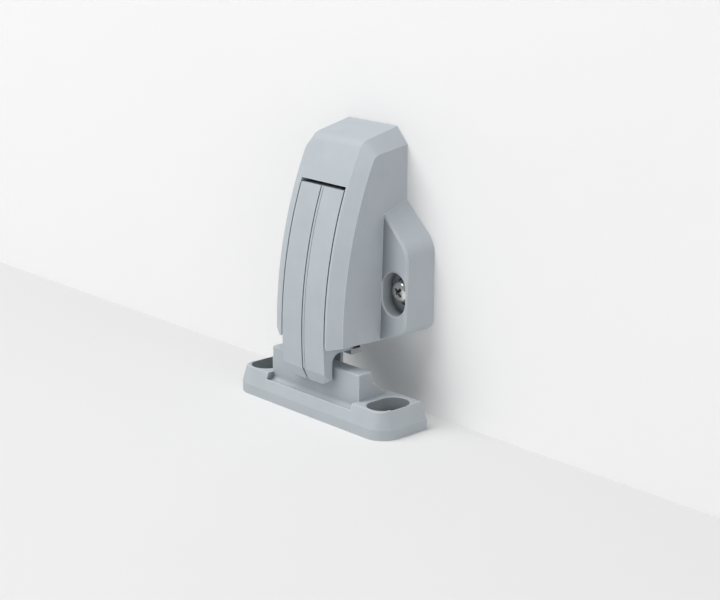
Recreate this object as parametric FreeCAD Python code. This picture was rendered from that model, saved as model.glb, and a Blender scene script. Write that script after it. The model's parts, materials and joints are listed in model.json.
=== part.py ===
import FreeCAD, Part
import math
import os

# Two-part cupboard catch: a housing with a swinging lever on one panel, and a strike on the other.
# Sizes are in millimetres. Heights are measured up from the panel under the strike,
# depths are measured forward from the wall plane behind the housing.

# Housing body
housing_width = 30.4
crown_margin = 0.7
bevel_depth = 2.6
front_radius = 130.0
front_depth = 28.8
front_fall = 62.9
underside_front = 23.2
underside_side = 24.5
underside_back = 23.6
top_height = 87.7
top_slope = 12.0
bevel_rise = 4.9
shoulder_slope = 7.8
crease_radius = 4.0
side_wall = 2.4
front_wall = 2.0
crown_wall = 2.6
roof_wall = 5.0

# Screw ears
ear_width = 11.9
ear_top = 65.9
ear_top_angle = 43.0
ear_bottom_rise = 0.4
ear_bottom_angle = 20.0
ear_upper_radius = 8.0
ear_lower_radius = 4.8
ear_depth_top = 9.5
ear_depth_bottom = 11.0
ear_top_draft = 0.32
ear_side_draft = 0.12
ear_screw_offset = 5.2
ear_recess_width = 9.8
ear_recess_height = 13.4
ear_recess_drop = 0.4
ear_floor = 6.0
ear_slot_height = 8.8
ear_edge_chamfer = 0.45
recess_chamfer = 0.25

# Front slot and lever
slot_drop = 6.0
slot_corner_radius = 1.3
lever_gap = 0.5
lever_top_gap = 1.2
lever_width = 19.0
lever_thickness = 3.2
lever_skin = 1.6
lever_rib_depth = 3.0
lever_rib_width = 2.4
groove_width = 1.4
groove_depth = 0.5
leg_bottom = 11.3
leg_thickness = 3.5
leg_fillet = 3.0
tip_rise = 3.85
tip_setback = 1.85
tip_corner_width = 3.1
tip_corner_rise = 1.6
tip_corner_setback = 2.05
web_bottom = 21.1
web_thickness = 4.2
web_reach = 11.0

# Pivot of the lever
pivot_drop = 6.0
pivot_setback = 4.07
pin_radius = 1.25
pin_seat = 0.2
running_clearance = 0.05
seat_clearance = 0.03
boss_radius = 3.3
tail_width = 7.0
tail_thickness = 1.6
tail_setback = 3.3
tail_root = 1.65
tail_bend_rise = 6.6
tail_rise = 10.0

# Return spring round the pin
spring_wire = 0.5
spring_wire_sides = 8
spring_gap = 0.3
spring_pitch = 0.75
spring_turns = 2.75
spring_offset = 6.2
spring_side_gap = 0.27
spring_room_margin = 1.6
spring_lever_leg = 4.2
spring_lap = 1.3
spring_rest = 0.15

# Back cover, ball cage and ball
cover_thickness = 2.0
cover_rebate = 1.0
cover_clearance = 0.1
cage_clearance = 0.2
cage_plate = 2.0
cage_floor_rise = 1.4
cage_floor_thickness = 2.0
cage_top_gap = 1.0
moving_clearance = 0.3
ball_radius = 3.0
ball_rest = 0.3
ball_sink = 0.5
ball_clearance = 0.1
tray_width = 18.0
tray_setback = 7.3
tray_thickness = 3.0
lug_width = 3.4
lug_offset = 7.8
lug_length = 4.0
lug_drop = 5.6
lug_slot_rise = 1.6
lug_slot_height = 0.9
lug_slot_depth = 1.8
lug_slot_wall = 0.45
tongue_width = 5.0
tongue_thickness = 1.0
tongue_setback = 1.9
tongue_bottom = 10.3

# Strike
strike_length = 68.6
strike_width = 18.8
strike_band = 3.3
plateau_length = 14.3
plateau_height = 8.5
end_taper = 2.3
front_taper = 1.8
back_taper = 0.3
plateau_chamfer = 0.2
corner_radius = 6.5
plateau_corner_radius = 3.0
catch_gap = 1.2
block_thickness = 6.3
block_top_thickness = 5.1
block_top = 16.9
block_shoulder = 13.0
block_front_radius = 0.6
block_back_radius = 0.4
block_end_chamfer = 0.25
end_rib_width = 3.9
end_rib_margin = 2.1
end_rib_foot = 7.6
channel_inset = 0.4
channel_depth = 4.2
channel_lip_height = 6.5
channel_lip_width = 0.3
channel_floor = 6.1
channel_radius = 1.2
core_wall = 1.5
strike_screw_inset = 7.3
strike_screw_setback = 9.7
strike_recess_width = 9.8
strike_recess_length = 14.0
strike_floor = 3.2
strike_slot_length = 8.4

# Screws
screw_height = 39.6
head_radius = 3.45
head_height = 2.7
head_rim = 1.0
head_flat = 2.4
neck_radius = 1.95
slot_clearance = 0.25
thread_radius = 1.75
thread_length = 12.5

# Centre of the front arc, and a length past the whole part
front_centre_height = top_height - front_fall
arc_centre = front_radius - front_depth
far = top_height + strike_length


def vector(x, depth, height):
    return FreeCAD.Vector(x, -depth, height)


def front_at(height, inset=0.0):
    """Depth of the curved front at a height, for an arc that lies inset inside the crown's."""
    radius = front_radius - inset
    rise = height - front_centre_height
    return math.sqrt(radius * radius - rise * rise) - arc_centre


# Housing and lever, worked out from the sizes above
half_width = housing_width / 2
cavity_half = half_width - side_wall
shoulder_height = top_height - bevel_rise
roof_height = shoulder_height - roof_wall
slot_top = roof_height - slot_drop
slot_half = lever_width / 2 + lever_gap
half_crown = slot_half + crown_margin
screw_slot_width = 2 * (neck_radius + slot_clearance)
ear_bottom = underside_back + ear_bottom_rise
ear_lean = (ear_depth_bottom - ear_depth_top) / (ear_top - ear_bottom)
wall_screw_x = half_width + ear_screw_offset
ear_recess_middle = screw_height - ear_recess_drop
lever_half = lever_width / 2
lever_top = slot_top - lever_top_gap
leg_back = front_depth - leg_thickness
tip_top = leg_bottom + tip_rise
tip_front = front_at(tip_top) - tip_setback
web_top = web_bottom + web_thickness
web_depth = front_depth - web_reach
pivot_height = slot_top - pivot_drop
pivot_depth = front_at(pivot_height) - pivot_setback
pin_half = cavity_half + pin_seat

# Spring, cage and ball, worked out from the sizes above
coil_radius = pin_radius + spring_gap + spring_wire / 2
coil_length = spring_pitch * spring_turns
tray_front = pivot_depth - tray_setback
tray_top = pivot_height + coil_radius - spring_wire / 2 - spring_rest
cage_front = web_depth - moving_clearance
cage_floor = underside_back + cage_floor_rise
cage_floor_top = cage_floor + cage_floor_thickness
cage_plate_front = cover_thickness + cage_plate
ball_depth = cage_plate_front + ball_rest + ball_radius
ball_height = tray_top + ball_radius - ball_sink

# Strike, worked out from the sizes above
block_half = strike_length / 2 - plateau_length
block_front = leg_back - catch_gap
block_back = block_front - block_thickness
block_top_back = block_front - block_top_thickness
strike_front = block_front + channel_depth
strike_back = strike_front - strike_width
strike_screw_x = strike_length / 2 - strike_screw_inset
strike_screw_depth = strike_front - strike_screw_setback
rib_inner = block_half - end_rib_width
rib_back = strike_back + end_rib_margin


def rounded_wire(corners, place):
    """Closed wire through (a, b, radius) corners, with an arc at each corner that has a radius."""
    count = len(corners)
    arcs = []
    starts = []
    ends = []
    for index, (a, b, radius) in enumerate(corners):
        point = FreeCAD.Vector(a, b, 0)
        before = FreeCAD.Vector(*corners[index - 1][:2], 0) - point
        after = FreeCAD.Vector(*corners[(index + 1) % count][:2], 0) - point
        before.normalize()
        after.normalize()
        if radius == 0:
            starts.append(point)
            ends.append(point)
            arcs.append([])
            continue
        half_angle = before.getAngle(after) / 2
        trim = radius / math.tan(half_angle)
        bisector = before + after
        bisector.normalize()
        middle = point + bisector * (radius / math.sin(half_angle) - radius)
        starts.append(point + before * trim)
        ends.append(point + after * trim)
        arc = [place(p.x, p.y) for p in (starts[-1], middle, ends[-1])]
        arcs.append([Part.Arc(*arc).toShape()])
    outline = []
    for index in range(count):
        start = ends[index]
        end = starts[(index + 1) % count]
        side = Part.LineSegment(place(start.x, start.y), place(end.x, end.y)).toShape()
        outline += arcs[index] + [side]
    return Part.Wire(outline)


def prism_along_x(corners, low, high):
    """Solid from (depth, height, radius) corners, between two X values."""
    wire = rounded_wire(corners, lambda depth, height: vector(low, depth, height))
    return Part.Face(wire).extrude(FreeCAD.Vector(high - low, 0, 0))


def prism_along_depth(corners, near, deep):
    """Solid from (x, height, radius) corners, between two depths."""
    wire = rounded_wire(corners, lambda x, height: vector(x, near, height))
    return Part.Face(wire).extrude(FreeCAD.Vector(0, near - deep, 0))


def block(x_low, x_high, depth_low, depth_high, low, high):
    corner = FreeCAD.Vector(x_low, -depth_high, low)
    return Part.makeBox(x_high - x_low, depth_high - depth_low, high - low, corner)


def rod(radius, x_low, x_high, depth, height):
    return Part.makeCylinder(radius, x_high - x_low, vector(x_low, depth, height), FreeCAD.Vector(1, 0, 0))


def mirrored(shape):
    return shape.mirror(FreeCAD.Vector(0, 0, 0), FreeCAD.Vector(1, 0, 0))


def arc_band(low, high, inset_front, inset_back, half):
    """Slab between two front arcs, from one height to another, centred on X."""
    middle = (low + high) / 2
    outer = [vector(-half, front_at(h, inset_front), h) for h in (low, middle, high)]
    inner = [vector(-half, front_at(h, inset_back), h) for h in (high, middle, low)]
    edges = [
        Part.Arc(*outer).toShape(),
        Part.LineSegment(outer[2], inner[0]).toShape(),
        Part.Arc(*inner).toShape(),
        Part.LineSegment(inner[2], outer[0]).toShape(),
    ]
    return Part.Face(Part.Wire(edges)).extrude(FreeCAD.Vector(2 * half, 0, 0))


def housing_section(x, inset, back_height, slope):
    """Side view of the housing at one X: sloped top, rounded crease, curved front, run past the back."""
    angle = math.radians(slope)
    radius = front_radius - inset
    along = (math.cos(angle), -math.sin(angle))
    up = (math.sin(angle), math.cos(angle))
    start = (-up[0] * crease_radius + arc_centre, back_height - up[1] * crease_radius - front_centre_height)
    reach = radius - crease_radius
    half_b = start[0] * along[0] + start[1] * along[1]
    c = start[0] ** 2 + start[1] ** 2 - reach * reach
    travel = -half_b + math.sqrt(half_b * half_b - c)
    offset = (start[0] + travel * along[0], start[1] + travel * along[1])
    centre = (offset[0] - arc_centre, offset[1] + front_centre_height)
    out = (offset[0] / reach, offset[1] / reach)
    blend = (up[0] + out[0], up[1] + out[1])
    length = math.hypot(*blend)
    low = underside_back - crease_radius
    top_end = (centre[0] + crease_radius * up[0], centre[1] + crease_radius * up[1])
    crease = [centre[i] + crease_radius * blend[i] / length for i in (0, 1)]
    front_start = (centre[0] + crease_radius * out[0], centre[1] + crease_radius * out[1])
    front_middle = (front_at((front_start[1] + low) / 2, inset), (front_start[1] + low) / 2)
    front_end = (front_at(low, inset), low)
    behind = -crease_radius
    back_top = (behind, back_height - behind * math.tan(angle))
    places = [vector(x, *p) for p in (back_top, top_end, crease, front_start, front_middle, front_end)]
    back_low = vector(x, behind, low)
    edges = [
        Part.LineSegment(places[0], places[1]).toShape(),
        Part.Arc(places[1], places[2], places[3]).toShape(),
        Part.Arc(places[3], places[4], places[5]).toShape(),
        Part.LineSegment(places[5], back_low).toShape(),
        Part.LineSegment(back_low, places[0]).toShape(),
    ]
    return Part.Wire(edges)


def housing_envelope():
    """Everything in front of the wall plane and above the sloped underside."""
    side_depth = front_depth - bevel_depth
    corners = [
        (0, underside_back, 0),
        (side_depth, underside_side, 0),
        (front_depth, underside_front, 0),
        (far, underside_front, 0),
        (far, far, 0),
        (0, far, 0),
    ]
    return prism_along_x(corners, -far, far)


def ear_outline(depth):
    """Outline of the right ear at a depth, drafted towards the front."""
    reach = half_width + ear_width - ear_side_draft * depth
    root = cavity_half
    fall = math.tan(math.radians(ear_top_angle))
    rise = math.tan(math.radians(ear_bottom_angle))
    top = ear_top - ear_top_draft * depth
    corners = [
        (root, top + (half_width - root) * fall, 0),
        (reach, top - (reach - half_width) * fall, ear_upper_radius),
        (reach, ear_bottom + (reach - half_width) * rise, ear_lower_radius),
        (root, ear_bottom - (half_width - root) * rise, 0),
    ]
    return rounded_wire(corners, lambda x, height: vector(x, depth, height))


def obround(x, y, width, length, place):
    """Face of a slot centred on (x, y), with round ends, long in its second direction."""
    radius = width / 2
    straight = length / 2 - radius
    right_low = place(x + radius, y - straight)
    right_high = place(x + radius, y + straight)
    left_low = place(x - radius, y - straight)
    left_high = place(x - radius, y + straight)
    edges = [
        Part.LineSegment(right_low, right_high).toShape(),
        Part.Arc(right_high, place(x, y + length / 2), left_high).toShape(),
        Part.LineSegment(left_high, left_low).toShape(),
        Part.Arc(left_low, place(x, y - length / 2), right_low).toShape(),
    ]
    return Part.Face(Part.Wire(edges))


def ear_cut(side, height, width, length, floor):
    """Slot or recess in an ear, from its floor out past the front."""
    face = obround(side * wall_screw_x, height, width, length, lambda x, y: vector(x, floor, y))
    return face.extrude(FreeCAD.Vector(0, -far, 0))


def ear_face(height):
    """Depth of the ear's leaning front at a height."""
    return ear_depth_bottom - (height - ear_bottom) * ear_lean


def ear_mouth(side):
    """Chamfer round the mouth of the recess in an ear."""
    rings = []
    for step in (-2 * recess_chamfer, recess_chamfer):
        grow = 2 * (step + recess_chamfer)
        ring = obround(
            side * wall_screw_x, ear_recess_middle, ear_recess_width + grow, ear_recess_height + grow,
            lambda x, y: vector(x, ear_face(y) + step, y),
        )
        rings.append(ring.OuterWire)
    return Part.makeLoft(rings, True, True)


def make_ear():
    deepest = ear_depth_bottom + ear_lower_radius
    solid = Part.makeLoft([ear_outline(0), ear_outline(deepest)], True, True)
    space = [(0, 0, 0), (ear_face(0), 0, 0), (ear_face(far), far, 0), (0, far, 0)]
    ear = solid.common(prism_along_x(space, 0, far))
    front = min(ear.Faces, key=lambda face: face.CenterOfMass.y)
    return ear.makeChamfer(ear_edge_chamfer, front.Edges)


def housing_body():
    sections = [
        housing_section(-half_width, bevel_depth, shoulder_height, shoulder_slope),
        housing_section(-half_crown, 0, top_height, top_slope),
        housing_section(half_crown, 0, top_height, top_slope),
        housing_section(half_width, bevel_depth, shoulder_height, shoulder_slope),
    ]
    ear = make_ear()
    body = Part.makeLoft(sections, True, True).fuse([ear, mirrored(ear)])
    return body.common(housing_envelope())


def slot_corner():
    """Rounding of the slot's lower right corner, at the underside."""
    far_side = slot_half + 2 * slot_corner_radius
    corners = [
        (0, 0, 0),
        (far_side, 0, 0),
        (far_side, underside_front, 0),
        (slot_half, underside_front, slot_corner_radius),
        (slot_half, web_top, 0),
        (0, web_top, 0),
    ]
    return prism_along_depth(corners, cage_front, far)


def make_housing():
    outer = housing_body()
    low = web_bottom
    inner = arc_band(low, roof_height, bevel_depth + front_wall, front_depth + crease_radius, cavity_half)
    crown = arc_band(low, roof_height, crown_wall, front_depth, slot_half)
    front_slot = arc_band(low, slot_top, -crease_radius, front_depth, slot_half)
    rebate = cavity_half + cover_rebate
    cover_seat = block(-rebate, rebate, 0, cover_thickness, 0, roof_height + cover_rebate)
    corner = slot_corner()
    housing = outer.cut([inner, crown, front_slot, cover_seat, corner, mirrored(corner)])
    boss = rod(boss_radius, slot_half, cavity_half, pivot_depth, pivot_height).common(outer)
    reach = pin_half + seat_clearance
    pin_hole = rod(pin_radius + seat_clearance, -reach, reach, pivot_depth, pivot_height)
    housing = housing.fuse([boss, mirrored(boss)]).cut(pin_hole)
    for side in (-1, 1):
        recess = ear_cut(side, ear_recess_middle, ear_recess_width, ear_recess_height, ear_floor)
        slot = ear_cut(side, screw_height, screw_slot_width, ear_slot_height, 0)
        housing = housing.cut([recess, slot, ear_mouth(side)])
    return housing.removeSplitter()


def lever_leg():
    """Leg in front of the strike's block, with a sloped tip and a fillet under its web."""
    front = front_depth + lever_thickness
    corners = [
        (front, tip_top, 0),
        (front_at(tip_top), tip_top, 0),
        (tip_front, leg_bottom, 0),
        (leg_back, leg_bottom, 0),
        (leg_back, web_bottom, leg_fillet),
        (web_depth, web_bottom, 0),
        (web_depth, web_top, 0),
        (front, web_top, 0),
    ]
    leg = prism_along_x(corners, -lever_half, lever_half)
    return leg.common(arc_band(0, slot_top, 0, front_depth, lever_half))


def lever_tail():
    """Tail that rises from the pivot, in front of the ball."""
    tail_front = pivot_depth - tail_setback
    tail_back = tail_front - tail_thickness
    root = pivot_depth - pin_radius
    corners = [
        (root, pivot_height + tail_root, 0),
        (tail_front, pivot_height + tail_bend_rise, 0),
        (tail_front, pivot_height + tail_rise, 0),
        (tail_back, pivot_height + tail_rise, 0),
        (tail_back, pivot_height + tail_root, 0),
        (root, pivot_height - tail_root, 0),
    ]
    return prism_along_x(corners, -tail_width / 2, tail_width / 2)


def tip_corner():
    """What comes off the tip's right corner: a facet in front and a chamfer below."""
    corner_low = leg_bottom + tip_corner_rise
    corner_inner = lever_half - tip_corner_width
    top = vector(lever_half, front_at(tip_top), tip_top)
    side = vector(lever_half, front_at(tip_top) - tip_corner_setback, corner_low)
    front = vector(corner_inner, tip_front, leg_bottom)
    normal = (front - top).cross(side - top)
    normal.normalize()
    if normal.y > 0:
        normal = normal * -1
    plane = Part.makePlane(2 * far, 2 * far, FreeCAD.Vector(-far, -far, 0))
    plane.Placement = FreeCAD.Placement(top, FreeCAD.Rotation(FreeCAD.Vector(0, 0, 1), normal))
    below = [
        (corner_inner, leg_bottom, 0),
        (lever_half, corner_low, 0),
        (lever_width, corner_low, 0),
        (lever_width, 0, 0),
        (corner_inner, 0, 0),
    ]
    return plane.extrude(normal * far).fuse(prism_along_depth(below, 0, far))


def tip_groove():
    """Part of the centre groove that runs down the sloped tip."""
    top = front_at(tip_top)
    low = leg_bottom - groove_depth
    corners = [
        (top + groove_depth, tip_top, 0),
        (tip_front, low, 0),
        (tip_front - groove_depth, low, 0),
        (top - groove_depth, tip_top, 0),
    ]
    return prism_along_x(corners, -groove_width / 2, groove_width / 2)


def spring_room():
    """Room in the lever's boss for the coil, which leaves the lever's skin whole."""
    half = coil_length / 2 + spring_wire / 2 + spring_side_gap
    radius = boss_radius + spring_room_margin
    room = rod(radius, spring_offset - half, spring_offset + half, pivot_depth, pivot_height)
    return room.cut(arc_band(0, slot_top, 0, lever_skin, lever_half))


def make_lever():
    arm = arc_band(web_bottom, lever_top, 0, lever_thickness, lever_half)
    ribs = arc_band(web_bottom, pivot_height, 0, lever_thickness + lever_rib_depth, lever_half)
    rib_gap = lever_half - lever_rib_width
    ribs = ribs.cut(block(-rib_gap, rib_gap, 0, front_depth, web_top, far))
    boss = rod(boss_radius, -lever_half, lever_half, pivot_depth, pivot_height)
    lever = arm.fuse([ribs, boss, lever_tail(), lever_leg()])
    corner = tip_corner()
    groove = arc_band(0, slot_top, -groove_depth, groove_depth, groove_width / 2)
    bore = rod(pin_radius + running_clearance, -lever_width, lever_width, pivot_depth, pivot_height)
    lever = lever.cut([corner, mirrored(corner), groove, tip_groove(), spring_room(), bore])
    return lever.removeSplitter()


def wire_profile(centre, axis):
    """Many-sided section of the spring's wire, square to an axis."""
    turn = FreeCAD.Rotation(FreeCAD.Vector(0, 0, 1), axis)
    points = []
    for index in range(spring_wire_sides + 1):
        angle = 2 * math.pi * (index + 0.5) / spring_wire_sides
        spoke = FreeCAD.Vector(math.cos(angle), math.sin(angle), 0) * (spring_wire / 2)
        points.append(centre + turn.multVec(spoke))
    return Part.makePolygon(points)


def make_spring():
    """Wire coil round the pin, with one leg up behind the lever's top and one back over the cage's tray."""
    helix = Part.makeHelix(spring_pitch, coil_length, coil_radius, 0, True)
    start = FreeCAD.Vector(coil_radius, 0, 0)
    finish = FreeCAD.Vector(0, coil_radius, coil_length)
    up = FreeCAD.Vector(0, 1, 0)
    back = FreeCAD.Vector(1, 0, 0)
    profile = wire_profile(start, up)
    coil = Part.Wire(helix.Edges).makePipeShell([profile], True, True)
    lever_end = Part.Face(profile).extrude(up * spring_lever_leg)
    cage_end = Part.Face(wire_profile(finish, back)).extrude(back * (tray_setback + spring_lap))
    spring = coil.fuse([lever_end, cage_end])
    axes = FreeCAD.Rotation(FreeCAD.Vector(0, 1, 0), FreeCAD.Vector(0, 0, 1), FreeCAD.Vector(1, 0, 0), "ZXY")
    centre = vector(spring_offset - coil_length / 2, pivot_depth, pivot_height)
    spring.Placement = FreeCAD.Placement(centre, axes)
    return spring


def make_cover():
    half = cavity_half + cover_rebate - cover_clearance
    top = roof_height + cover_rebate - cover_clearance
    return block(-half, half, 0, cover_thickness, underside_back + cover_clearance, top)


def cage_lug(side):
    """Lug under the cage's floor, with a thin slot in its outer face."""
    inner = lug_offset - lug_width / 2
    outer = lug_offset + lug_width / 2
    back = cage_front - lug_length
    bottom = cage_floor - lug_drop
    slot_low = bottom + lug_slot_rise
    lug = block(inner, outer, back, cage_front, bottom, cage_floor_top)
    cut = block(
        outer - lug_slot_depth, outer + lug_slot_depth,
        back + lug_slot_wall, cage_front - lug_slot_wall,
        slot_low, slot_low + lug_slot_height,
    )
    lug = lug.cut(cut)
    return lug if side > 0 else mirrored(lug)


def make_cage():
    half = cavity_half - cage_clearance
    back = cover_thickness
    tray_half = tray_width / 2
    tongue_half = tongue_width / 2
    tongue_front = cage_front - tongue_setback
    plate = block(-half, half, back, cage_plate_front, cage_floor, roof_height - cage_top_gap)
    floor = block(-half, half, back, cage_front, cage_floor, cage_floor_top)
    tray = block(-tray_half, tray_half, back, tray_front, tray_top - tray_thickness, tray_top)
    tongue = block(
        -tongue_half, tongue_half, tongue_front - tongue_thickness, tongue_front,
        tongue_bottom, cage_floor_top,
    )
    cage = plate.fuse([floor, tray, tongue, cage_lug(-1), cage_lug(1)])
    seat = Part.makeSphere(ball_radius + ball_clearance, vector(0, ball_depth, ball_height))
    return cage.cut(seat).removeSplitter()


def make_ball():
    return Part.makeSphere(ball_radius, vector(0, ball_depth, ball_height))


def strike_outline(height, ends, front, back, radius):
    """Outline of the strike at a height, drawn in by the given tapers, with round front corners."""
    half = strike_length / 2 - ends
    corners = [
        (-half, -strike_back - back, 0),
        (-half, -strike_front + front, radius),
        (half, -strike_front + front, radius),
        (half, -strike_back - back, 0),
    ]
    return rounded_wire(corners, lambda x, y: FreeCAD.Vector(x, y, height))


def strike_cut(side, width, length, floor):
    """Slot or recess in an end plateau, from its floor up past the top."""
    face = obround(
        side * strike_screw_x, -strike_screw_depth, width, length,
        lambda x, y: FreeCAD.Vector(x, y, floor),
    )
    return face.extrude(FreeCAD.Vector(0, 0, far))


def strike_mouth(side):
    """Chamfer round the mouth of the recess in an end plateau."""
    rings = []
    for step in (-2 * recess_chamfer, recess_chamfer):
        grow = 2 * (step + recess_chamfer)
        ring = obround(
            side * strike_screw_x, -strike_screw_depth,
            strike_recess_width + grow, strike_recess_length + grow,
            lambda x, y: FreeCAD.Vector(x, y, plateau_height + step),
        )
        rings.append(ring.OuterWire)
    return Part.makeLoft(rings, True, True)


def strike_plate():
    """Straight band on the panel, with drafted sides and a chamfered edge above it."""
    tapers = (end_taper, front_taper, back_taper)
    grown = [taper + plateau_chamfer for taper in tapers]
    foot = strike_outline(0, 0, 0, 0, corner_radius)
    edge = strike_outline(strike_band, 0, 0, 0, corner_radius)
    rim = strike_outline(plateau_height - plateau_chamfer, *tapers, plateau_corner_radius)
    plateau = strike_outline(plateau_height, *grown, plateau_corner_radius)
    return Part.makeLoft([foot, edge, rim, plateau], True, True)


def strike_channel():
    """Low channel with a lip in front of the block, where the lever's leg hangs."""
    half = block_half - channel_inset
    rise = (channel_lip_height - strike_band) / (plateau_height - strike_band)
    lip_back = strike_front - front_taper * rise - channel_lip_width
    corners = [
        (strike_front, channel_lip_height, 0),
        (lip_back, channel_lip_height, 0),
        (lip_back - channel_lip_height + channel_floor, channel_floor, 0),
        (block_front, channel_floor, channel_radius),
        (block_front, block_top, 0),
        (strike_front, block_top, 0),
    ]
    return prism_along_x(corners, -half, half)


def strike_block():
    corners = [
        (block_front, strike_band, 0),
        (block_front, block_top, block_front_radius),
        (block_top_back, block_top, block_back_radius),
        (block_back, block_shoulder, 0),
        (block_back, strike_band, 0),
    ]
    solid = prism_along_x(corners, -block_half, block_half)
    ends = [face for face in solid.Faces if abs(face.CenterOfMass.x) > rib_inner]
    return solid.makeChamfer(block_end_chamfer, [edge for face in ends for edge in face.Edges])


def strike_rib():
    """Sloped rib behind the right end of the block."""
    corners = [
        (block_front, strike_band, 0),
        (block_front, block_shoulder, 0),
        (block_back, block_shoulder, 0),
        (rib_back, end_rib_foot, 0),
        (rib_back, strike_band, 0),
    ]
    return prism_along_x(corners, rib_inner, block_half)


def make_strike():
    rib = strike_rib()
    notch = block(-rib_inner, rib_inner, 0, block_back, 0, far)
    core_half = block_half - core_wall
    core = block(
        -core_half, core_half, block_back + core_wall, block_front - core_wall,
        0, block_shoulder - core_wall,
    )
    strike = strike_plate().cut(strike_channel())
    strike = strike.fuse([strike_block(), rib, mirrored(rib)]).cut([notch, core])
    for side in (-1, 1):
        recess = strike_cut(side, strike_recess_width, strike_recess_length, strike_floor)
        slot = strike_cut(side, screw_slot_width, strike_slot_length, 0)
        strike = strike.cut([recess, slot, strike_mouth(side)])
    return strike.removeSplitter()


def make_screw(grip):
    """Pan-head screw on the Z axis, with its seat at Z = 0 and its thread below the gripped thickness."""
    line = [
        (0, head_height),
        (0, -grip - thread_length),
        (thread_radius, -grip - thread_length),
        (thread_radius, -grip),
        (neck_radius, -grip),
        (neck_radius, 0),
        (head_radius, 0),
        (head_radius, head_rim),
        (head_flat, head_height),
        (0, head_height),
    ]
    outline = Part.makePolygon([FreeCAD.Vector(radius, 0, height) for radius, height in line])
    return Part.Face(outline).revolve(FreeCAD.Vector(), FreeCAD.Vector(0, 0, 1), 360)


def make_wall_screws():
    screws = []
    for side in (-1, 1):
        screw = make_screw(ear_floor)
        screw.rotate(FreeCAD.Vector(), FreeCAD.Vector(1, 0, 0), 90)
        screw.translate(vector(side * wall_screw_x, ear_floor, screw_height))
        screws.append(screw)
    return Part.makeCompound(screws)


def make_strike_screws():
    screws = []
    for side in (-1, 1):
        screw = make_screw(strike_floor)
        screw.translate(vector(side * strike_screw_x, strike_screw_depth, strike_floor))
        screws.append(screw)
    return Part.makeCompound(screws)


def make_pin():
    return rod(pin_radius, -pin_half, pin_half, pivot_depth, pivot_height)


def main():
    os.makedirs("parts", exist_ok=True)
    pieces = {
        "housing": make_housing(),
        "lever": make_lever(),
        "lever_pin": make_pin(),
        "lever_spring": make_spring(),
        "back_cover": make_cover(),
        "ball_cage": make_cage(),
        "steel_ball": make_ball(),
        "wall_screws": make_wall_screws(),
        "strike": make_strike(),
        "strike_screws": make_strike_screws(),
    }
    for name, shape in pieces.items():
        shape.translate(FreeCAD.Vector(0, 0, -screw_height))
        shape.exportStep(f"parts/{name}.step")


main()
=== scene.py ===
import json
import math

import bmesh
import bpy
from mathutils import Matrix, Vector


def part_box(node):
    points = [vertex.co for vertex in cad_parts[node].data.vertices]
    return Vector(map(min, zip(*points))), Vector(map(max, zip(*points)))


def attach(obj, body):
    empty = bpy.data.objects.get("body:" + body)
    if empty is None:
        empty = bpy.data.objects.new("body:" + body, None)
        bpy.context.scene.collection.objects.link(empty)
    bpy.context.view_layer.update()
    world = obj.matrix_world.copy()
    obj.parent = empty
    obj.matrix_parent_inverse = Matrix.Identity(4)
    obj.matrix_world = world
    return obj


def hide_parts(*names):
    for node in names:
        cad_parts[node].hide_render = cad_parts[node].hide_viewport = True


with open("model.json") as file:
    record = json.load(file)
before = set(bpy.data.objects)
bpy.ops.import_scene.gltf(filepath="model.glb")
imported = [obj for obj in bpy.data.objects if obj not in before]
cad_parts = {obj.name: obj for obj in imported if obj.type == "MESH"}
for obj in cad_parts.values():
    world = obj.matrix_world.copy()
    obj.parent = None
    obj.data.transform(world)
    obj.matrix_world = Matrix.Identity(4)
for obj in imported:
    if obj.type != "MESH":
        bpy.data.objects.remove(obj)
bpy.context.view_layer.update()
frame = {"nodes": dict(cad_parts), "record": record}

# Lengths are in metres, and MM turns millimetres into them
MM = 0.001

# Camera at the photograph's angle: turns in degrees, lens and sensor in millimetres
CAMERA_PLACE = Vector((378.576, -352.479, 140.471)) * MM
CAMERA_YAW = 47.474
CAMERA_PITCH = 16.049
CAMERA_LENS = 86.18
CAMERA_SENSOR = 36.0
CAMERA_NEAR = 0.01

# Screw heads: a rim, a dome on it, and a softened edge
HEAD_RADIUS = 3.45 * MM
HEAD_HEIGHT = 2.7 * MM
HEAD_RIM = 1.0 * MM
HEAD_CHAMFER = 0.12 * MM
HEAD_SOFTENING = 0.07 * MM
HEAD_TIP_RADIUS = 0.02 * MM
HEAD_SIDES = 64
DOME_STEPS = 12
DOME_WIDTH_POWER = 0.72
DOME_RISE_POWER = 0.9
SOFTENED_ANGLE = 38
SPLIT_ANGLE = 42

# Cross recess in a screw head, narrower at its bottom
CROSS_REACH = 1.95 * MM
CROSS_WIDTH = 1.05 * MM
CROSS_DEPTH = 1.75 * MM
CROSS_OVERCUT = 0.2 * MM
CROSS_BOTTOM_REACH = 0.42
CROSS_BOTTOM_WIDTH = 0.62

# Screw necks and threads
NECK_RADIUS = 1.95 * MM
NECK_OVERLAP = 0.2 * MM
NECK_SHARE = 0.94
THREAD_ROOT = 1.25 * MM
THREAD_CREST = 1.75 * MM
THREAD_LENGTH = 9.5 * MM
THREAD_PITCH = 1.35 * MM
THREAD_SHOULDER = 1.05
RIDGE_HALF_WIDTH = 0.26
POINT_LENGTH = 3.0 * MM
POINT_RADIUS = 0.04 * MM
SHANK_SIDES = 40
SHANK_STEPS = 190

# Thickness of the plastic under each kind of screw head
EAR_FLOOR = 6.0 * MM
STRIKE_FLOOR = 3.2 * MM

# Lever's front, with the raised strip in its groove
FRONT_RADIUS = 130 * MM
FRONT_DEPTH = 28.8 * MM
FRONT_CENTRE = -14.8 * MM
STRIP_HALF = 0.4 * MM
STRIP_SINK = 0.15 * MM
STRIP_BACK = 0.6 * MM
STRIP_LOW = -24.3 * MM
STRIP_TOP = 30.9 * MM
STRIP_STEPS = 40

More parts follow.
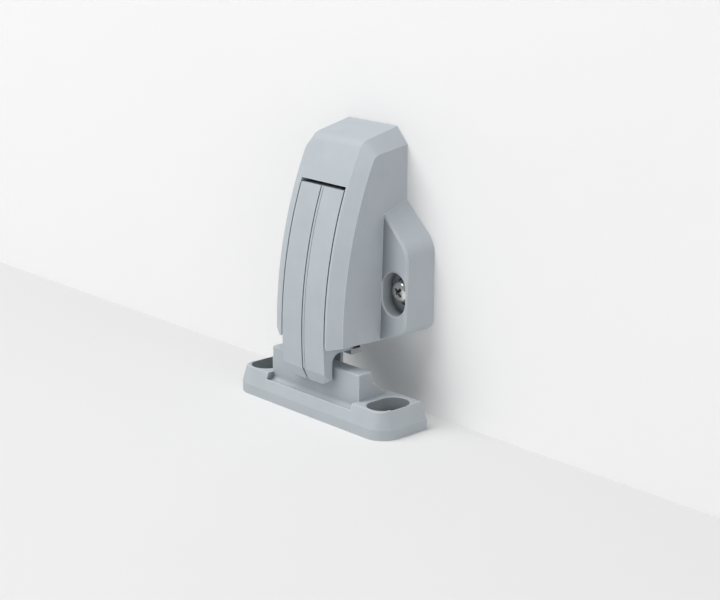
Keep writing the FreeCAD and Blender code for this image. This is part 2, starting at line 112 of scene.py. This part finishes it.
# Colours, as linear values
PLASTIC = (0.472, 0.515, 0.550)
# The strike's plastic is the same grey made a little darker, as painted shade
SHADED_STRIKE_PLASTIC = (0.456, 0.498, 0.530)
INNER_PLASTIC = (0.40, 0.43, 0.45)
ZINC = (0.72, 0.72, 0.70)
STEEL = (0.60, 0.60, 0.61)
PALE = (0.95, 0.95, 0.95)
FLOOR = (0.81, 0.81, 0.81)

# Noise in the materials, with its scale in waves per metre
MOTTLE = dict(scale=110.0, detail=3.0)
SPECKLE = dict(scale=2600.0, detail=2.0)
GRAIN = dict(scale=7500.0, detail=3.0, roughness=0.65)
CLOUD = dict(scale=420.0, detail=4.0)
DRAW_MARKS = dict(scale=5200.0, detail=3.0, roughness=0.6)
STAGE_CLOUD = dict(scale=6.0, detail=2.0)

# Tones that the noise runs between, and the range that noise values mostly keep to
MOTTLE_TONES = (0.965, 1.035)
SPECKLE_TONE = 0.93
SPECKLE_SHARE = 0.35
CLOUD_TONES = (0.88, 1.05)
STAGE_TONES = (0.99, 1.01)
NOISE_LOW = 0.3
NOISE_HIGH = 0.7

# Relief of the surfaces
GRAIN_DEPTH = 0.02 * MM
GRAIN_STRENGTH = 0.22
MARK_DEPTH = 0.015 * MM
MARK_STRENGTH = 0.12
EDGE_ROUNDING = 0.15 * MM

# Painted highlights along edges: width, greatest share, turns at which they are full and gone, and gains
EDGE_LINE = 0.22 * MM
EDGE_SHARE = 0.8
EDGE_FULL_TURN = 0.92
EDGE_NO_TURN = 0.998
EDGE_HIGHLIGHT_GAIN = 1.8
LEVER_EDGE_HIGHLIGHT_GAIN = 1.15
STRIKE_EDGE_HIGHLIGHT_GAIN = 1.9

# Painted shade in hollows, creases and gaps between parts, and on front faces beside creases: how far
# they are felt for, and the openness at which they are dark and clear
FRONT_CREASES = dict(reach=9 * MM, start=0.30, end=0.92, facing=(0, -1, 0))
LEVER_GAPS = dict(reach=3 * MM, start=0.25, end=0.60, local=False)
STRIKE_CREASES = dict(reach=7 * MM, start=0.12, end=0.60)
POCKET_DEPTHS = dict(reach=4 * MM, start=0.30, end=0.80)
METAL_CREASES = dict(reach=2 * MM, start=0.45, end=0.95)
FACING_START = 0.3
FACING_END = 0.8
HOLLOW_SAMPLES = 12
BEVEL_SAMPLES = 8
CREASE_SHADE_TONE = 0.22
METAL_CREASE_SHADE_TONE = 0.40

# Painted shade inside the screw pockets: centre, straight reach and radius, just past their walls
EAR_POCKET = (Vector((20.4, 7.6, 0)) * MM, Vector((0, 1.6, 2.2)) * MM, 4.97 * MM)
STRIKE_POCKET = (Vector((27, 18.6, 34.4)) * MM, Vector((0, 2.1, 2.2)) * MM, 4.97 * MM)
POCKET_DEEP_SHADE_TONE = 0.16
POCKET_SHADE_TONE = 0.80
STRIKE_POCKET_SHADE_TONE = 0.68

# Gloss: the least and the greatest roughness, and the strength of reflections
PLASTIC_GLOSS = (0.50, 0.62)
STEEL_GLOSS = (0.22, 0.38)
ZINC_GLOSS = (0.17, 0.30)
STAGE_ROUGHNESS = 0.7
PLASTIC_IOR = 1.5
PLASTIC_SPECULAR = 0.4
STAGE_SPECULAR = 0.2

# Stage, lamps as place, size, power and colour, and the surrounding light
STAGE_REACH = 4.0
WALL_GAP = 0.15 * MM
LAMPS = {
    "key": ((-0.66, -0.95, 1.2), 1.25, 14.5, (1.0, 0.99, 0.98)),
    "overhead": ((0.0, -0.35, 1.4), 0.9, 8.1, (1.0, 0.99, 0.98)),
    "side_fill": ((1.33, -0.28, 0.4), 1.0, 3.3, (1.0, 0.99, 0.97)),
}
WORLD_COLOUR = (0.96, 0.98, 1.0, 1.0)
WORLD_STRENGTH = 0.32


class Graph:
    """Short way to add and link the nodes of one material."""

    def __init__(self, name):
        self.material = bpy.data.materials.new(name)
        self.material.use_nodes = True
        self.tree = self.material.node_tree
        self.shader = self.tree.nodes["Principled BSDF"]
        self.output = self.tree.nodes["Material Output"]

    def add(self, kind, links=None, **values):
        """New node, with its settings and then its inputs."""
        node = self.tree.nodes.new(kind)
        for key, value in values.items():
            setattr(node, key, value)
        for socket, source in (links or {}).items():
            self.feed(node, socket, source)
        return node

    def feed(self, node, socket, source):
        """Links an input to another node's output, or sets it to a plain value."""
        if isinstance(source, bpy.types.NodeSocket):
            self.tree.links.new(source, node.inputs[socket])
        else:
            node.inputs[socket].default_value = source

    def number(self, operation, *sources):
        node = self.add("ShaderNodeMath", dict(enumerate(sources)), operation=operation)
        return node.outputs[0]

    def vector(self, operation, *sources):
        node = self.add("ShaderNodeVectorMath", dict(enumerate(sources)), operation=operation)
        return node.outputs["Value" if operation in ("DOT_PRODUCT", "LENGTH") else "Vector"]

    def mix(self, factor, first, second):
        """Blend of two colours."""
        node = self.add("ShaderNodeMix", {0: factor, 6: first, 7: second}, data_type="RGBA")
        return node.outputs[2]

    def tones(self, noise, colour, tones):
        """Colour that runs between two tones with a noise."""
        dark, light = tones
        return self.mix(self.spread(noise, 0.0, 1.0), shade(colour, dark), shade(colour, light))

    def mix_numbers(self, factor, first, second):
        return self.add("ShaderNodeMix", {0: factor, 2: first, 3: second}).outputs[0]

    def object_place(self):
        return self.add("ShaderNodeTexCoord").outputs["Object"]

    def normal(self):
        """Normal of the surface as it is."""
        return self.add("ShaderNodeNewGeometry").outputs["Normal"]

    def noise(self, place, scale, detail, roughness=0.5):
        links = {"Vector": place, "Scale": scale, "Detail": detail, "Roughness": roughness}
        return self.add("ShaderNodeTexNoise", links).outputs["Fac"]

    def spread(self, value, low, high, start=NOISE_LOW, end=NOISE_HIGH):
        """Maps the range from start to end onto the range from low to high."""
        links = {"Value": value, "From Min": start, "From Max": end, "To Min": low, "To Max": high}
        return self.add("ShaderNodeMapRange", links).outputs["Result"]

    def hollow(self, reach, start, end, local=True, facing=None):
        """Zero deep in a hollow, one on open faces and on those turned away from a given side."""
        settings = dict(samples=HOLLOW_SAMPLES, only_local=local)
        openness = self.add("ShaderNodeAmbientOcclusion", {"Distance": reach}, **settings).outputs["AO"]
        open_share = self.spread(openness, 0.0, 1.0, start, end)
        if facing is None:
            return open_share
        turn = self.vector("DOT_PRODUCT", self.normal(), facing)
        turned = self.spread(turn, 0.0, 1.0, FACING_START, FACING_END)
        return self.mix_numbers(turned, 1.0, open_share)

    def pocket(self, place, centre, reach, radius):
        """One within a rounded pocket and its mirror images, zero elsewhere."""
        offset = self.vector("SUBTRACT", self.vector("ABSOLUTE", place), centre)
        beyond = self.vector("SUBTRACT", self.vector("ABSOLUTE", offset), reach)
        outside = self.vector("MAXIMUM", beyond, (0, 0, 0))
        return self.number("LESS_THAN", self.vector("LENGTH", outside), radius)

    def rounded(self, radius):
        """Normal of the surface as if its edges were rounded."""
        return self.add("ShaderNodeBevel", {"Radius": radius}, samples=BEVEL_SAMPLES).outputs["Normal"]

    def edges(self, radius):
        """Up to the greatest share along edges, zero on flat faces."""
        turn = self.vector("DOT_PRODUCT", self.rounded(radius), self.normal())
        return self.spread(turn, EDGE_SHARE, 0.0, EDGE_FULL_TURN, EDGE_NO_TURN)

    def bump(self, height, strength, depth):
        return self.add("ShaderNodeBump", {"Strength": strength, "Distance": depth, "Height": height})

    def finish(self, **inputs):
        """Sets the shader's inputs by name, with underscores for spaces, and hands back the material."""
        for name, source in inputs.items():
            self.feed(self.shader, name.replace("_", " "), source)
        return self.material


def shade(colour, factor):
    """Colour made lighter or darker, with full opacity."""
    return tuple(channel * factor for channel in colour) + (1.0,)


def moulded_plastic(
    name, colour, hollow=FRONT_CREASES, highlight_gain=EDGE_HIGHLIGHT_GAIN, pocket=None, pocket_shade_tone=POCKET_SHADE_TONE,
):
    """Matte moulded plastic: fine grain, faint mottling, painted highlights along edges and painted
    shade in hollows.
    """
    graph = Graph(name)
    place = graph.object_place()
    mottle = graph.noise(place, **MOTTLE)
    speckle = graph.noise(place, **SPECKLE)
    grain = graph.noise(place, **GRAIN)
    flow = graph.tones(mottle, colour, MOTTLE_TONES)
    dust = graph.mix(graph.spread(speckle, 0.0, SPECKLE_SHARE), flow, shade(colour, SPECKLE_TONE))
    # Painted highlight: the colour is made lighter along edges
    edge_highlit = graph.mix(graph.edges(EDGE_LINE), dust, shade(colour, highlight_gain))
    # Painted shade: the colour is darkened in hollows, creases and gaps where shade falls
    shaded = graph.mix(graph.hollow(**hollow), shade(colour, CREASE_SHADE_TONE), edge_highlit)
    # Painted shade inside the screw pockets, darkest deep down
    if pocket:
        depth = graph.hollow(**POCKET_DEPTHS)
        pocket_shade = graph.mix(depth, shade(colour, POCKET_DEEP_SHADE_TONE), shade(colour, pocket_shade_tone))
        shaded = graph.mix(graph.pocket(place, *pocket), shaded, pocket_shade)
    bump = graph.bump(grain, GRAIN_STRENGTH, GRAIN_DEPTH)
    graph.feed(bump, "Normal", graph.rounded(EDGE_ROUNDING))
    return graph.finish(
        Base_Color=shaded,
        Roughness=graph.spread(mottle, *PLASTIC_GLOSS),
        Normal=bump.outputs["Normal"],
        IOR=PLASTIC_IOR,
        Specular_IOR_Level=PLASTIC_SPECULAR,
    )


def plated_metal(name, colour, gloss):
    """Plated or drawn metal with cloudy gloss, fine draw marks and painted shade in hollows."""
    graph = Graph(name)
    place = graph.object_place()
    cloud = graph.noise(place, **CLOUD)
    marks = graph.noise(place, **DRAW_MARKS)
    tint = graph.tones(cloud, colour, CLOUD_TONES)
    # Painted shade: the colour is darkened in the metal's hollows, such as the cross recess
    shaded = graph.mix(graph.hollow(**METAL_CREASES), shade(colour, METAL_CREASE_SHADE_TONE), tint)
    return graph.finish(
        Base_Color=shaded,
        Roughness=graph.spread(cloud, *gloss),
        Normal=graph.bump(marks, MARK_STRENGTH, MARK_DEPTH).outputs["Normal"],
        Metallic=1.0,
    )


def stage_graph(name, colour):
    """Graph of a plain pale surface with a faint unevenness."""
    graph = Graph(name)
    cloud = graph.noise(graph.object_place(), **STAGE_CLOUD)
    tint = graph.tones(cloud, colour, STAGE_TONES)
    graph.finish(Base_Color=tint, Roughness=STAGE_ROUGHNESS, Specular_IOR_Level=STAGE_SPECULAR)
    return graph


def wall_material():
    """Pale wall, shown to camera, glossy and transmission rays, and only from its front.

    So it bounces no light onto the part, and the part's back stays in view.
    """
    graph = stage_graph("wall_pale", PALE)
    rays = graph.add("ShaderNodeLightPath").outputs
    mirrored = graph.number("ADD", rays["Is Glossy Ray"], rays["Is Transmission Ray"])
    seen = graph.number("ADD", rays["Is Camera Ray"], mirrored)
    back = graph.add("ShaderNodeNewGeometry").outputs["Backfacing"]
    shown = graph.number("MULTIPLY", seen, graph.number("SUBTRACT", 1.0, back))
    clear = graph.add("ShaderNodeBsdfTransparent").outputs[0]
    mixed = graph.add("ShaderNodeMixShader", {0: shown, 1: clear, 2: graph.shader.outputs[0]})
    graph.feed(graph.output, "Surface", mixed.outputs[0])
    return graph.material


def new_object(name, mesh, material=None):
    thing = bpy.data.objects.new(name, mesh)
    bpy.context.scene.collection.objects.link(thing)
    if material:
        mesh.materials.append(material)
    return thing


def mesh_from(name, build):
    """New mesh filled by a function that works on a bmesh."""
    mesh = bpy.data.meshes.new(name)
    work = bmesh.new()
    build(work)
    bmesh.ops.recalc_face_normals(work, faces=work.faces)
    work.to_mesh(mesh)
    work.free()
    return mesh


def applied(thing):
    """Mesh of an object with its modifiers applied. The object itself is removed."""
    bpy.context.view_layer.update()
    graph = bpy.context.evaluated_depsgraph_get()
    mesh = bpy.data.meshes.new_from_object(thing.evaluated_get(graph))
    bpy.data.objects.remove(thing)
    return mesh


def skin_rings(work, rings):
    """Faces between rings of vertices, closed with one face at each end."""
    count = len(rings[0])
    for low, high in zip(rings, rings[1:]):
        for i in range(count):
            j = (i + 1) % count
            work.faces.new((low[i], low[j], high[j], high[i]))
    work.faces.new(rings[0])
    work.faces.new(rings[-1])


def ring(work, radius, height, count):
    """Ring of vertices about Z, where the radius may depend on the angle."""
    turns = [2 * math.pi * i / count for i in range(count)]
    sizes = [radius(t) if callable(radius) else radius for t in turns]
    return [work.verts.new((s * math.cos(t), s * math.sin(t), height)) for s, t in zip(sizes, turns)]


def thread_radius(depth, turn):
    """Radius of the thread at a depth below the neck: a sharp ridge on a root that ends in a point."""
    phase = (depth / THREAD_PITCH - turn / (2 * math.pi)) % 1.0
    ridge = max(0.0, 1.0 - abs(phase - 0.5) / RIDGE_HALF_WIDTH)
    run_in = min(1.0, depth / THREAD_PITCH)
    slim = 1.0 - max(0.0, depth - THREAD_LENGTH) / POINT_LENGTH
    return max(POINT_RADIUS, (THREAD_ROOT + (THREAD_CREST - THREAD_ROOT) * ridge * run_in) * slim)


def shank_mesh(grip):
    """Smooth neck through the part, and a threaded shank below it."""

    def build(work):
        reach = THREAD_LENGTH + POINT_LENGTH
        neck = (NECK_OVERLAP, -grip * NECK_SHARE)
        rings = [ring(work, NECK_RADIUS, height, SHANK_SIDES) for height in neck]
        rings.append(ring(work, THREAD_ROOT * THREAD_SHOULDER, -grip, SHANK_SIDES))
        for step in range(1, SHANK_STEPS + 1):
            depth = reach * step / SHANK_STEPS
            rings.append(ring(work, lambda turn: thread_radius(depth, turn), -grip - depth, SHANK_SIDES))
        skin_rings(work, rings)

    return mesh_from("shank", build)


def head_profile():
    """Side view of the pan head, from the seat's edge over the rim to the top."""
    points = [(HEAD_RADIUS - HEAD_CHAMFER, 0.0), (HEAD_RADIUS, HEAD_CHAMFER)]
    rise = HEAD_HEIGHT - HEAD_RIM
    for step in range(DOME_STEPS + 1):
        turn = math.pi / 2 * step / DOME_STEPS
        across = HEAD_RADIUS * math.cos(turn) ** DOME_WIDTH_POWER
        height = HEAD_RIM + rise * math.sin(turn) ** DOME_RISE_POWER
        points.append((max(across, HEAD_TIP_RADIUS), height))
    return points


def cross_cutters():
    """Two tapered bars that cross, for the driver's recess."""
    top = (CROSS_REACH, CROSS_WIDTH, HEAD_HEIGHT + CROSS_OVERCUT)
    bottom = (
        CROSS_REACH * CROSS_BOTTOM_REACH,
        CROSS_WIDTH * CROSS_BOTTOM_WIDTH,
        HEAD_HEIGHT - CROSS_DEPTH,
    )
    faces = ((0, 1, 2, 3), (7, 6, 5, 4), (0, 4, 5, 1), (1, 5, 6, 2), (2, 6, 7, 3), (3, 7, 4, 0))

    def bar(work, turn):
        rotation = Matrix.Rotation(turn, 3, "Z")
        corners = []
        for reach, width, height in (top, bottom):
            half = width / 2
            for x, y in ((-reach, -half), (reach, -half), (reach, half), (-reach, half)):
                corners.append(work.verts.new(rotation @ Vector((x, y, height))))
        for face in faces:
            work.faces.new([corners[i] for i in face])

    cutters = []
    for turn in (math.pi / 4, 3 * math.pi / 4):
        mesh = mesh_from("cross_wing", lambda work: bar(work, turn))
        cutters.append(new_object("cross_wing", mesh))
    return cutters


def head_mesh():
    """Pan head with its cross recess and softened edges."""

    def build(work):
        profile = head_profile()
        skin_rings(work, [ring(work, radius, height, HEAD_SIDES) for radius, height in profile])

    head = new_object("head", mesh_from("head", build))
    cutters = cross_cutters()
    for cutter in cutters:
        cut = head.modifiers.new("cross", "BOOLEAN")
        cut.operation = "DIFFERENCE"
        cut.object = cutter
        cut.solver = "EXACT"
    soften = head.modifiers.new("soften", "BEVEL")
    soften.width = HEAD_SOFTENING
    soften.segments = 2
    soften.angle_limit = math.radians(SOFTENED_ANGLE)
    mesh = applied(head)
    for cutter in cutters:
        bpy.data.objects.remove(cutter)
    return mesh


def screw_pair(name, node, grip, places, turn, material):
    """Two detailed screws in one piece, which stands for a node of the frame."""
    parts = [head_mesh(), shank_mesh(grip)]
    work = bmesh.new()
    for place in places:
        for part in parts:
            start = len(work.verts)
            work.from_mesh(part)
            work.verts.ensure_lookup_table()
            moved = work.verts[start:]
            bmesh.ops.transform(work, matrix=Matrix.Translation(place) @ turn, verts=moved)
    mesh = bpy.data.meshes.new(name)
    work.to_mesh(mesh)
    work.free()
    mesh.shade_smooth()
    pair = new_object(name, mesh, material)
    sharp = pair.modifiers.new("sharp", "EDGE_SPLIT")
    sharp.split_angle = math.radians(SPLIT_ANGLE)
    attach(pair, "fixed")
    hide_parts(node)


def screw_places(mount, grip):
    """Seats of a mount's two screws, as far in front of its plane as the plastic is thick."""
    found = next(m for m in frame["record"]["mounts"] if m["name"] == mount)
    half = found["dims"]["pcd_mm"] * MM / 2
    seat = Vector(found["pos_m"]) - Vector(found["axis"]) * grip
    return [seat + Vector((side * half, 0, 0)) for side in (-1, 1)]


def paint_nodes():
    """Gives the nodes of the frame their materials, and hands those back by node."""
    plastic = moulded_plastic("grey_plastic", PLASTIC, pocket=EAR_POCKET)
    flush = moulded_plastic("lever_plastic", PLASTIC, LEVER_GAPS, LEVER_EDGE_HIGHLIGHT_GAIN)
    plate = moulded_plastic(
        "strike_plastic", SHADED_STRIKE_PLASTIC, STRIKE_CREASES, STRIKE_EDGE_HIGHLIGHT_GAIN,
        STRIKE_POCKET, STRIKE_POCKET_SHADE_TONE,
    )
    inner = moulded_plastic("inner_plastic", INNER_PLASTIC)
    steel = plated_metal("plain_steel", STEEL, STEEL_GLOSS)
    looks = {
        "housing": plastic,
        "lever": flush,
        "strike": plate,
        "back_cover": plastic,
        "ball_cage": inner,
        "steel_ball": steel,
        "lever_pin": steel,
        "lever_spring": steel,
    }
    for name, material in looks.items():
        mesh = frame["nodes"][name].data
        mesh.materials.clear()
        mesh.materials.append(material)
    return looks


def add_groove_strip(material):
    """Raised strip along the middle of the lever's groove, which shows as two fine lines."""

    def build(work):
        rings = []
        for step in range(STRIP_STEPS + 1):
            height = STRIP_LOW + (STRIP_TOP - STRIP_LOW) * step / STRIP_STEPS
            bulge = math.sqrt(FRONT_RADIUS ** 2 - (height - FRONT_CENTRE) ** 2)
            front = FRONT_DEPTH - FRONT_RADIUS + bulge
            near = STRIP_SINK - front
            far = STRIP_BACK - front
            corners = ((-STRIP_HALF, near), (STRIP_HALF, near), (STRIP_HALF, far), (-STRIP_HALF, far))
            rings.append([work.verts.new((x, y, height)) for x, y in corners])
        skin_rings(work, rings)

    strip = new_object("groove_strip", mesh_from("groove_strip", build), material)
    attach(strip, "lever")


def add_screws():
    zinc = plated_metal("zinc_plate", ZINC, ZINC_GLOSS)
    facing_front = Matrix.Rotation(math.radians(90), 4, "X")
    facing_up = Matrix.Identity(4)
    wall = screw_places("wall_screw_pattern", EAR_FLOOR)
    strike = screw_places("strike_screw_pattern", STRIKE_FLOOR)
    screw_pair("wall_screw_pair", "wall_screws", EAR_FLOOR, wall, facing_front, zinc)
    screw_pair("strike_screw_pair", "strike_screws", STRIKE_FLOOR, strike, facing_up, zinc)


def add_stage():
    """Pale floor under the strike, and a pale wall just behind the housing."""
    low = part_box("strike")[0].z
    reach = STAGE_REACH
    gap = WALL_GAP

    def plane(name, corners, material):
        mesh = bpy.data.meshes.new(name)
        mesh.from_pydata(corners, [], [(0, 1, 2, 3)])
        thing = new_object(name, mesh, material)

    floor = [(-reach, -reach, low), (reach, -reach, low), (reach, reach, low), (-reach, reach, low)]
    wall = [(-reach, gap, low), (reach, gap, low), (reach, gap, reach), (-reach, gap, reach)]
    plane("floor", floor, stage_graph("floor_pale", FLOOR).material)
    plane("wall", wall, wall_material())


def add_light():
    """Round soft lamps that point at the frame's origin, and a faint even light from all sides."""
    for name, (place, size, power, colour) in LAMPS.items():
        data = bpy.data.lights.new(name, "AREA")
        data.shape = "DISK"
        data.size = size
        data.energy = power
        data.color = colour
        lamp = bpy.data.objects.new(name, data)
        lamp.location = place
        lamp.rotation_euler = (-Vector(place)).to_track_quat("-Z", "Y").to_euler()
        bpy.context.scene.collection.objects.link(lamp)
    world = bpy.data.worlds.new("studio")
    world.use_nodes = True
    background = world.node_tree.nodes["Background"]
    background.inputs["Color"].default_value = WORLD_COLOUR
    background.inputs["Strength"].default_value = WORLD_STRENGTH
    bpy.context.scene.world = world


def add_camera():
    data = bpy.data.cameras.new("camera")
    data.lens = CAMERA_LENS
    data.sensor_width = CAMERA_SENSOR
    data.clip_start = CAMERA_NEAR
    camera = bpy.data.objects.new("camera", data)
    camera.location = CAMERA_PLACE
    camera.rotation_euler = (math.radians(90 - CAMERA_PITCH), 0, math.radians(CAMERA_YAW))
    bpy.context.scene.collection.objects.link(camera)
    bpy.context.scene.camera = camera


looks = paint_nodes()
add_groove_strip(looks["lever"])
add_screws()
add_stage()
add_light()
add_camera()
bpy.context.scene.view_settings.view_transform = "Standard"
